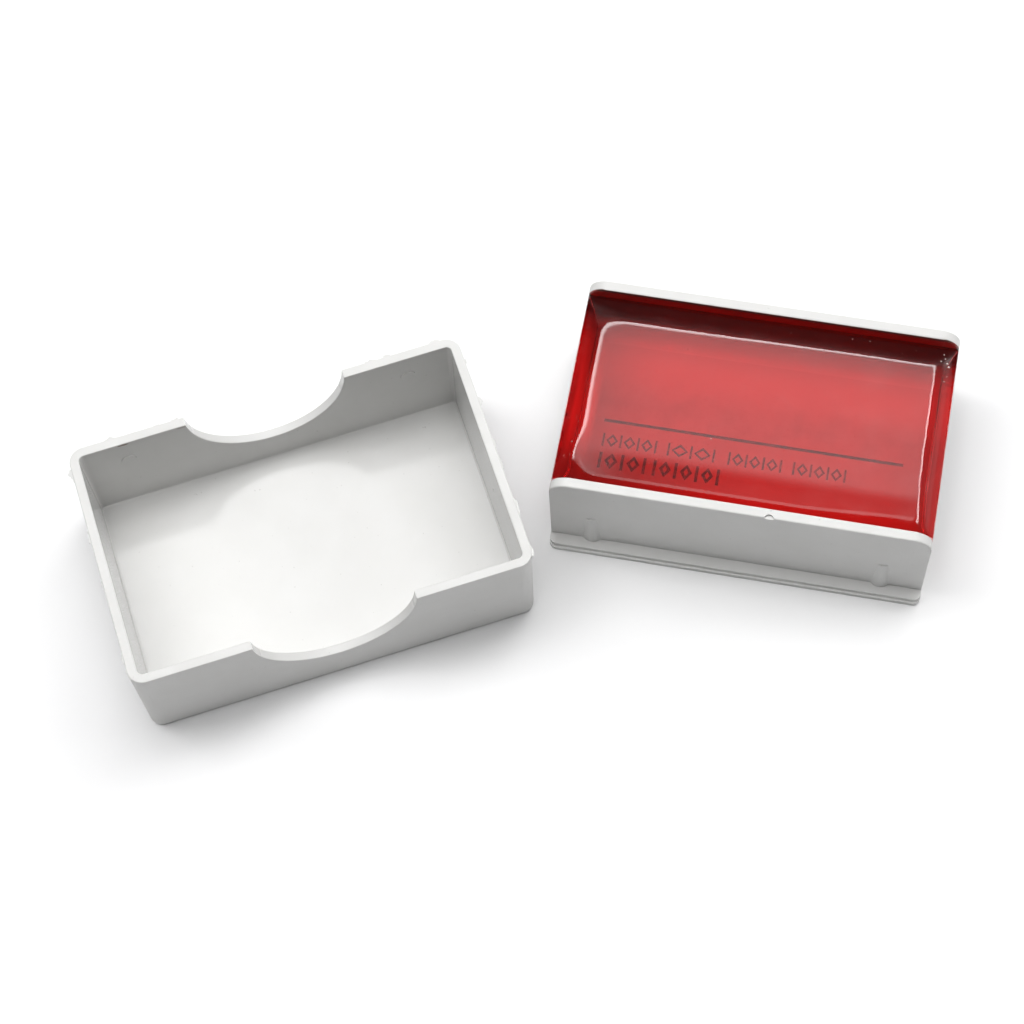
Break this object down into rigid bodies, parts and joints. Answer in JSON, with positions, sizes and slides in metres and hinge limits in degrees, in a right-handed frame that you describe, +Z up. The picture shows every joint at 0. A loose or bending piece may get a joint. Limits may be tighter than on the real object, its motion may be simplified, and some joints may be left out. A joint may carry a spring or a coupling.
{
  "type": "cased rosin cake",
  "caption": "Translucent red rosin cake cast in an open-ended plastic holder with a stepped foot, and a separate lift-off lid with thumb notches lying upside down beside it.",
  "frame": {"origin": "centre of the holder's underside, on the surface it stands on", "axes": "+X along the holder's long side, +Y towards its far long wall, +Z up out of the open cake; the lid lies at -X, turned 28.5 degrees about +Z"},
  "size_m": [0.1341, 0.0822, 0.0198],
  "materials": {
    "grey_plastic": "satin injection moulding, light warm grey",
    "insert": "smooth printed film with a plain dark rule",
    "rosin": "glass-smooth cast resin, deep red, translucent"
  },
  "bodies": {
    "holder_body": {"holder": "grey_plastic", "rosin_cake": "rosin", "printed_insert": "insert"},
    "lid_body": {"lid": "grey_plastic"}
  },
  "joints": [
    {"name": "lid_lift", "type": "slide", "parent": "holder_body", "child": "lid_body", "axis": [0, 0, 1], "range_m": [0, 0.03]}
  ]
}
